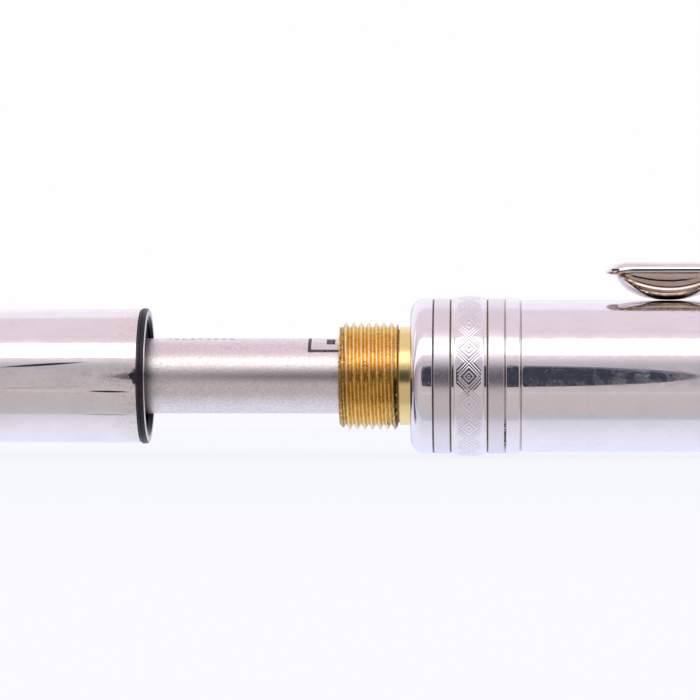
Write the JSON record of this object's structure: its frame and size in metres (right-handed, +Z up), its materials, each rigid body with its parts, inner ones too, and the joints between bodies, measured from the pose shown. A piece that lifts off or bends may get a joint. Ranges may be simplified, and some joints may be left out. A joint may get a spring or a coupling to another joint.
{
  "type": "ballpoint pen",
  "caption": "Metal twist-action ballpoint pen with clip, its barrel unscrewed and drawn off the refill.",
  "frame": {"origin": "middle of the drawn-off pen's length and width, on the plane that it lies on", "axes": "+X along the pen's axis towards the finial, writing point towards -X, +Z up through the clip"},
  "size_m": [0.159, 0.0126, 0.0153],
  "materials": {
    "polished_steel": "polished steel with fine hairline scratches",
    "satin_steel": "satin, finely brushed round the axis",
    "warm_nickel": "polished warm-toned nickel plate",
    "brass": "turned brass, tarnished in the thread",
    "spring_steel": "drawn steel, slightly dull",
    "black_rubber": "moulded black rubber, satin",
    "grey_plastic": "moulded grey plastic",
    "ink_paste": "thick dark ink"
  },
  "bodies": {
    "mechanism": {"threaded_sleeve": "brass", "drag_ring": "black_rubber", "bearing_washer": "grey_plastic", "guide_tube": "spring_steel", "snap_ring": "spring_steel", "return_spring": "spring_steel"},
    "refill": {"slider": "grey_plastic", "follower_pin": "spring_steel", "refill_tube": "satin_steel", "refill_plug": "grey_plastic", "ink_column": "ink_paste", "refill_neck": "satin_steel", "refill_tip": "brass", "writing_ball": "spring_steel"},
    "cap": {"lip_ring": "polished_steel", "front_satin_ring": "satin_steel", "centre_band": "polished_steel", "rear_satin_ring": "satin_steel", "body_ring": "polished_steel", "cap_liner": "brass", "cap_body": "polished_steel", "cam_sleeve": "brass", "anchor_plug": "brass", "clip": "warm_nickel", "clip_keel": "warm_nickel", "finial_washer": "black_rubber", "finial_base": "satin_steel", "finial_dome": "polished_steel", "finial_inlay": "satin_steel", "finial_screw": "spring_steel"},
    "gasket": {"mouth_gasket": "black_rubber"},
    "barrel": {"barrel_bush": "satin_steel", "barrel_shell": "polished_steel", "nose_ring": "satin_steel", "nose_cone": "polished_steel", "nose_guide": "grey_plastic"}
  },
  "joints": [
    {"name": "cap_twist", "type": "hinge", "parent": "mechanism", "child": "cap", "pos_m": [0.01142, 0, 0.0063], "axis": [-1, 0, 0], "range_deg": [0, 120]},
    {"name": "refill_feed", "type": "slide", "parent": "mechanism", "child": "refill", "axis": [-1, 0, 0], "range_m": [0, 0.0042], "deforming": ["return_spring"]},
    {"name": "barrel_pull", "type": "slide", "parent": "mechanism", "child": "gasket", "axis": [1, 0, 0], "range_m": [-0.0542, 0.02075]},
    {"name": "barrel_turn", "type": "hinge", "parent": "gasket", "child": "barrel", "pos_m": [0.01142, 0, 0.0063], "axis": [1, 0, 0], "continuous": true}
  ],
  "couplings": [
    {"joint": "cap_twist", "follows": "refill_feed", "rad_per_m": 498.67}
  ]
}
